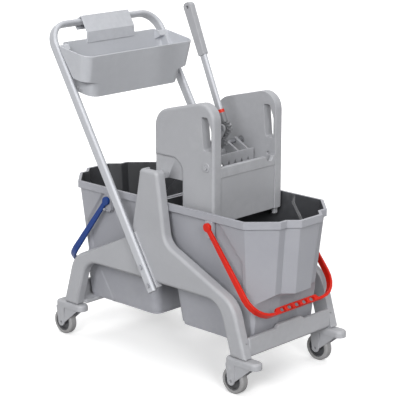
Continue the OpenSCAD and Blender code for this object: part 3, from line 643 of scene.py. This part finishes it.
@dataclass(frozen=True)
class Round:
    """A rounding of edges: its width in metres and its segments."""

    width: float
    steps: int = 2


def any_edge(middle: Vector) -> bool:
    """Takes every edge.

    Args:
        middle: the edge's middle; not used.

    Returns:
        True.
    """
    return True


def only(piece: bpy.types.Object) -> None:
    """Leaves one object selected and active, in object mode.

    Args:
        piece: the object.
    """
    if bpy.context.object and bpy.context.object.mode != "OBJECT":
        bpy.ops.object.mode_set(mode="OBJECT")
    bpy.ops.object.select_all(action="DESELECT")
    piece.select_set(True)
    bpy.context.view_layer.objects.active = piece


def copy_of(node: str) -> bpy.types.Object:
    """Copies a solid's mesh into a new piece, with its doubles merged and its flat faces joined.

    Args:
        node: the solid's name.

    Returns:
        The new piece, at the origin.
    """
    piece = bpy.data.objects.new(f"soft_{node}", frame["nodes"][node].data.copy())
    bpy.context.scene.collection.objects.link(piece)
    only(piece)
    bpy.ops.object.mode_set(mode="EDIT")
    bpy.ops.mesh.select_all(action="SELECT")
    bpy.ops.mesh.remove_doubles(threshold=SAME_POINT)
    bpy.ops.mesh.dissolve_limited(angle_limit=SAME_PLANE)
    bpy.ops.object.mode_set(mode="OBJECT")
    return piece


def soften(piece: bpy.types.Object, rounding: Round, where: EdgeTest) -> None:
    """Rounds the sharp outward edges of a piece.

    Args:
        piece: the piece to round.
        rounding: width and segments of the rounding.
        where: test on an edge's middle.
    """
    only(piece)
    bpy.ops.object.mode_set(mode="EDIT")
    bpy.ops.mesh.select_mode(type="EDGE")
    bpy.ops.mesh.select_all(action="DESELECT")
    mesh = bmesh.from_edit_mesh(piece.data)
    chosen = 0
    for edge in mesh.edges:
        outward = len(edge.link_faces) == 2 and edge.is_convex and edge.calc_face_angle(0.0) >= SHARP_EDGE
        if outward and where((edge.verts[0].co + edge.verts[1].co) / 2):
            edge.select = True
            chosen += 1
    bmesh.update_edit_mesh(piece.data)
    if chosen:
        bpy.ops.mesh.bevel(offset=rounding.width, segments=rounding.steps, profile=0.5, clamp_overlap=False)
    bpy.ops.object.mode_set(mode="OBJECT")


def smooth(piece: bpy.types.Object, crease: float) -> None:
    """Shades a piece smooth except over sharp edges, with its large faces kept flat.

    Args:
        piece: the piece to shade.
        crease: angle in degrees over which an edge stays sharp.
    """
    only(piece)
    bpy.ops.object.shade_smooth_by_angle(angle=math.radians(crease))
    bpy.ops.object.modifier_add(type="WEIGHTED_NORMAL")
    weighted = piece.modifiers[-1]
    weighted.keep_sharp = True
    weighted.weight = FACE_WEIGHT
    bpy.ops.object.modifier_apply(modifier=weighted.name)


@dataclass
class Workshop:
    """Materials by slot, and the fitting of finished pieces to the frame."""

    materials: dict[Slot, bpy.types.Material]
    slot_of: dict[str, Slot]
    body_of: dict[str, str]

    def remould(self, node: str, *passes: tuple[Round, EdgeTest], crease: float = CREASE,
                shape: Callable[[bpy.types.Object], None] | None = None) -> None:
        """Copies a solid, rounds the copy's edges and lets it stand for the solid.

        Args:
            node: the solid's name.
            passes: roundings in turn, each with the test of its edges.
            crease: angle in degrees over which an edge stays sharp.
            shape: change of form before the rounding.
        """
        piece = copy_of(node)
        if shape:
            shape(piece)
        for rounding, where in passes:
            soften(piece, rounding, where)
        smooth(piece, crease)
        self.fit(piece, node)

    def fit(self, piece: bpy.types.Object, node: str) -> None:
        """Lets a finished piece stand for a solid, in its body and finish.

        Args:
            piece: the finished piece.
            node: the solid's name.
        """
        slot = self.slot_of[node]
        piece.data.materials.clear()
        piece.data.materials.append(self.materials[slot])
        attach(piece, self.body_of[node])
        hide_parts(node)
        LOG.info("%s stands for %s", piece.name, node)

    def dress_rest(self) -> None:
        """Gives every solid its material, for those that still show."""
        for node, solid in frame["nodes"].items():
            slot = self.slot_of[node]
            for place in solid.material_slots:
                place.material = self.materials[slot]
            if not solid.material_slots:
                solid.data.materials.append(self.materials[slot])


def open_workshop() -> Workshop:
    """Builds the materials and reads which slot and body each solid has.

    Returns:
        The workshop.
    """
    effects = Effects()
    record = frame["record"]
    materials = {finish.slot: finish.build(effects) for finish in FINISHES}
    slot_of = {row["node"]: Slot(row["material_slot"]) for row in record["subparts"]}
    body_of = {node: body for body, nodes in record["behaviour"]["bodies"].items() for node in nodes}
    return Workshop(materials, slot_of, body_of)


# Sub-assemblies


@dataclass
class Chassis:
    """Side frames, end beams and bridge with soft moulded edges."""

    outer: Round = Round(0.010, 5)
    small: Round = Round(0.002)
    beam: Round = Round(0.003, 3)
    outer_face: float = 0.195
    pad_corner: tuple[float, float] = (-0.0715, 0.367)
    pad_room: float = 0.03
    near: float = 0.0005

    def build(self, shop: Workshop) -> None:
        """Rounds each moulding and fits it.

        Args:
            shop: the workshop.
        """
        for side in ("near", "far"):
            shop.remould(f"side_frame_{side}", (self.outer, self.on_outer_face), (self.small, self.off_outer_face))
        for node in ("end_beam_left", "end_beam_right", "centre_bridge"):
            shop.remould(node, (self.beam, any_edge))

    def on_outer_face(self, middle: Vector) -> bool:
        """Tells whether an edge lies on an outer face, clear of the handle's pad.

        Args:
            middle: the edge's middle.

        Returns:
            True for such an edge.
        """
        by_pad = math.dist((middle.x, middle.z), self.pad_corner) < self.pad_room
        return abs(abs(middle.y) - self.outer_face) < self.near and not by_pad

    def off_outer_face(self, middle: Vector) -> bool:
        """Tells whether an edge lies away from the rounded outer faces.

        Args:
            middle: the edge's middle.

        Returns:
            True for such an edge.
        """
        across = abs(middle.y)
        return across > self.outer_face + self.near or across < self.outer_face - 2 * self.outer.width


@dataclass
class Buckets:
    """Buckets, bail bearings and bails with moulded edges."""

    wall: Round = Round(0.0012)
    rim: Round = Round(0.0002)
    ear: Round = Round(0.0012)
    bail: Round = Round(0.0015, 3)
    rim_top: float = 0.468
    pivot_x: float = 0.196
    pivot_z: float = 0.433
    hang: float = math.radians(38.5)
    bend_from: float = 0.209
    bend_half: float = 0.104
    grip_half: float = 0.09
    arm_spread: float = 1.45
    grip_spread: float = 0.75

    def build(self, shop: Workshop) -> None:
        """Rounds each moulding and fits it.

        Args:
            shop: the workshop.
        """
        for side, sign in (("left", -1.0), ("right", 1.0)):
            shop.remould(f"bucket_{side}", (self.wall, self.below_rim), (self.rim, self.on_rim))
            shop.remould(f"bail_ears_{side}", (self.ear, any_edge))
            shop.remould(f"bail_{side}", (self.bail, any_edge), shape=partial(self.strap, sign=sign))

    def strap(self, piece: bpy.types.Object, sign: float) -> None:
        """Widens a bail's arms into straps towards the grip and thins the grip, across the bail's plane.

        Args:
            piece: the bail to shape.
            sign: -1 on the left bucket, 1 on the right one.
        """
        pivot = Vector((sign * self.pivot_x, 0.0, self.pivot_z))
        along = Vector((sign * math.sin(self.hang), 0.0, -math.cos(self.hang)))
        across = Vector((sign * math.cos(self.hang), 0.0, math.sin(self.hang)))
        cuts = [(pivot + self.bend_from * along, along)]
        cuts += [((0.0, y, 0.0), (0.0, 1.0, 0.0))
                 for y in (-self.bend_half, -self.grip_half, self.grip_half, self.bend_half)]
        only(piece)
        bpy.ops.object.mode_set(mode="EDIT")
        for place, normal in cuts:
            bpy.ops.mesh.select_all(action="SELECT")
            bpy.ops.mesh.bisect(plane_co=place, plane_no=normal)
        bpy.ops.object.mode_set(mode="OBJECT")
        for vertex in piece.data.vertices:
            offset = vertex.co - pivot
            down = min(max(offset.dot(along) / self.bend_from, 0.0), 1.0)
            out = min(max((abs(offset.y) - self.grip_half) / (self.bend_half - self.grip_half), 0.0), 1.0)
            arm = 1.0 + (self.arm_spread - 1.0) * down
            spread = self.grip_spread + (arm - self.grip_spread) * out
            vertex.co += across * (offset.dot(across) * (spread - 1.0))

    def below_rim(self, middle: Vector) -> bool:
        """Tells whether an edge lies under the top of the rim.

        Args:
            middle: the edge's middle.

        Returns:
            True for such an edge.
        """
        return middle.z < self.rim_top

    def on_rim(self, middle: Vector) -> bool:
        """Tells whether an edge is one of the fine ones along the top of the rim.

        Args:
            middle: the edge's middle.

        Returns:
            True for such an edge.
        """
        return not self.below_rim(middle)


@dataclass
class Basket:
    """Hook-on basket with a rounded rim."""

    edge: Round = Round(0.0015)
    crease: float = 20.0

    def build(self, shop: Workshop) -> None:
        """Rounds the basket and fits it.

        Args:
            shop: the workshop.
        """
        shop.remould("basket", (self.edge, any_edge), crease=self.crease)


@dataclass
class Wringer:
    """Wringer sides, box, press and lever with moulded edges."""

    outer: Round = Round(0.008, 4)
    small: Round = Round(0.0015)
    plate: Round = Round(0.00075)
    tooth: Round = Round(0.0004)
    outer_face: float = 0.138
    near: float = 0.0005
    slot_along: Span = (0.14, 0.1815)
    slot_high: Span = (0.62, 0.725)
    boss_high: Span = (0.56, 0.61)
    seat_in: float = 0.115
    seat_front: float = 0.0715
    seat_top: float = 0.625

    def build(self, shop: Workshop) -> None:
        """Rounds each moulding and fits it.

        Args:
            shop: the workshop.
        """
        for side in ("near", "far"):
            shop.remould(f"wringer_side_{side}", (self.outer, self.on_outline), (self.small, self.off_seat))
        for node, rounding in (("wringer_box", self.small), ("press_plate", self.plate),
                               ("lever_bracket", self.small), ("lever_hub", self.tooth),
                               ("press_sector", self.tooth), ("lever_grip", self.small)):
            shop.remould(node, (rounding, any_edge))

    def off_seat(self, middle: Vector) -> bool:
        """Tells whether an edge lies away from the sunk seat over the tower and its lug.

        Args:
            middle: the edge's middle.

        Returns:
            True for such an edge.
        """
        return abs(middle.y) < self.seat_in or middle.x > self.seat_front or middle.z > self.seat_top

    def on_outline(self, middle: Vector) -> bool:
        """Tells whether an edge lies on the outline of an outer face, away from the hand slot and the boss.

        Args:
            middle: the edge's middle.

        Returns:
            True for such an edge.
        """
        beside = self.slot_along[0] < middle.x < self.slot_along[1]
        level = any(low < middle.z < high for low, high in (self.slot_high, self.boss_high))
        return abs(abs(middle.y) - self.outer_face) < self.near and not (beside and level)


@dataclass
class Casters:
    """Caster forks with soft hoods."""

    fork: Round = Round(0.0012)
    count: int = 4

    def build(self, shop: Workshop) -> None:
        """Rounds each fork and fits it.

        Args:
            shop: the workshop.
        """
        for number in range(1, self.count + 1):
            shop.remould(f"caster_fork_{number}", (self.fork, any_edge))


# Studio


def background_rays(tree: bpy.types.NodeTree) -> bpy.types.NodeSocket:
    """Adds a mask of the rays that show the background: seen straight, mirrored or through glass.

    Args:
        tree: node tree of a material or world.

    Returns:
        A socket that is 1 for such rays.
    """
    path = tree.nodes.new("ShaderNodeLightPath")
    shown = path.outputs["Is Camera Ray"]
    for ray in ("Is Glossy Ray", "Is Transmission Ray"):
        either = tree.nodes.new("ShaderNodeMath")
        either.operation = "MAXIMUM"
        tree.links.new(shown, either.inputs[0])
        tree.links.new(path.outputs[ray], either.inputs[1])
        shown = either.outputs[0]
    return shown


@dataclass(frozen=True)
class Lamp:
    """A soft far lamp that lights the whole floor evenly.

    Attributes:
        name: the lamp's name.
        azimuth: direction to the lamp from +X, in degrees.
        elevation: height of the lamp over the floor, in degrees.
        spread: angle that the lamp fills, in degrees.
        strength: light on a face that looks at it, in watts per square metre.
    """

    name: str
    azimuth: float
    elevation: float
    spread: float
    strength: float

    def build(self) -> None:
        """Adds the lamp to the scene."""
        data = bpy.data.lights.new(self.name, "SUN")
        data.angle = math.radians(self.spread)
        data.energy = self.strength
        made = bpy.data.objects.new(self.name, data)
        made.rotation_euler = (math.radians(90.0 - self.elevation), 0.0, math.radians(self.azimuth + 90.0))
        bpy.context.scene.collection.objects.link(made)


@dataclass
class Studio:
    """Camera, pale floor and soft lamps."""

    camera_place: tuple[float, float, float] = (2.878, -2.982, 1.547)
    azimuth: float = 43.9
    elevation: float = 14.96
    lens: float = 138.2
    sensor: float = 36.0
    farthest: float = 60.0
    floor_half: float = 9.0
    floor_grey: Colour = (250, 250, 250)
    floor_bounce: Colour = (150, 150, 150)
    floor_glow: float = 0.3
    floor_roughness: float = 0.9
    floor_shine: float = 0.1
    sky: float = 0.3
    lamps: tuple[Lamp, ...] = (Lamp("left", -66.0, 26.0, 24.0, 1.85), Lamp("right", -28.0, 24.0, 20.0, 1.18),
                               Lamp("top", 120.0, 80.0, 70.0, 1.5))

    def build(self) -> None:
        """Sets up the view, the floor, the world and the lamps."""
        self.camera()
        self.floor()
        self.world()
        for lamp in self.lamps:
            lamp.build()
        bpy.context.scene.view_settings.view_transform = "Standard"

    def camera(self) -> None:
        """Places the camera at the photograph's viewing angle."""
        data = bpy.data.cameras.new("view")
        data.lens = self.lens
        data.sensor_width = self.sensor
        data.clip_end = self.farthest
        seen = bpy.data.objects.new("view", data)
        seen.location = self.camera_place
        seen.rotation_euler = (math.radians(90.0 - self.elevation), 0.0, math.radians(self.azimuth))
        bpy.context.scene.collection.objects.link(seen)
        bpy.context.scene.camera = seen

    def floor(self) -> None:
        """Adds the pale floor, white away from the object's shadow, which a glow lifts for the camera."""
        bpy.ops.object.select_all(action="DESELECT")
        bpy.ops.mesh.primitive_plane_add(size=2 * self.floor_half, location=(0.0, 0.0, 0.0))
        ground = bpy.context.object
        ground.name = "floor"
        shader = Shader("pale_floor")
        shown = background_rays(shader.tree)
        shader.feed("Base Color", shader.blend(shown, linear(self.floor_bounce), linear(self.floor_grey)))
        direct = shader.tree.nodes.new("ShaderNodeLightPath").outputs["Is Camera Ray"]
        shader.feed("Emission Strength", shader.span(direct, (0.0, self.floor_glow)))
        shader.set(Emission_Color=WHITE, Roughness=self.floor_roughness, Specular_IOR_Level=self.floor_shine)
        ground.data.materials.append(shader.material)

    def world(self) -> None:
        """Lights softly from all round and shows white behind."""
        world = bpy.data.worlds.new("studio")
        bpy.context.scene.world = world
        world.use_nodes = True
        tree = world.node_tree
        soft = tree.nodes["Background"]
        white = tree.nodes.new("ShaderNodeBackground")
        for light, strength in ((soft, self.sky), (white, 1.0)):
            light.inputs["Color"].default_value = WHITE
            light.inputs["Strength"].default_value = strength
        mix = tree.nodes.new("ShaderNodeMixShader")
        tree.links.new(background_rays(tree), mix.inputs["Fac"])
        tree.links.new(soft.outputs[0], mix.inputs[1])
        tree.links.new(white.outputs[0], mix.inputs[2])
        tree.links.new(mix.outputs[0], tree.nodes["World Output"].inputs["Surface"])


def main() -> None:
    """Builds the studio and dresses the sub-assemblies."""
    logging.basicConfig(level=logging.INFO, format="%(name)s: %(message)s")
    Studio().build()
    shop = open_workshop()
    for assembly in (Chassis(), Buckets(), Basket(), Wringer(), Casters()):
        assembly.build(shop)
    shop.dress_rest()


if __name__ == "__main__":
    main()
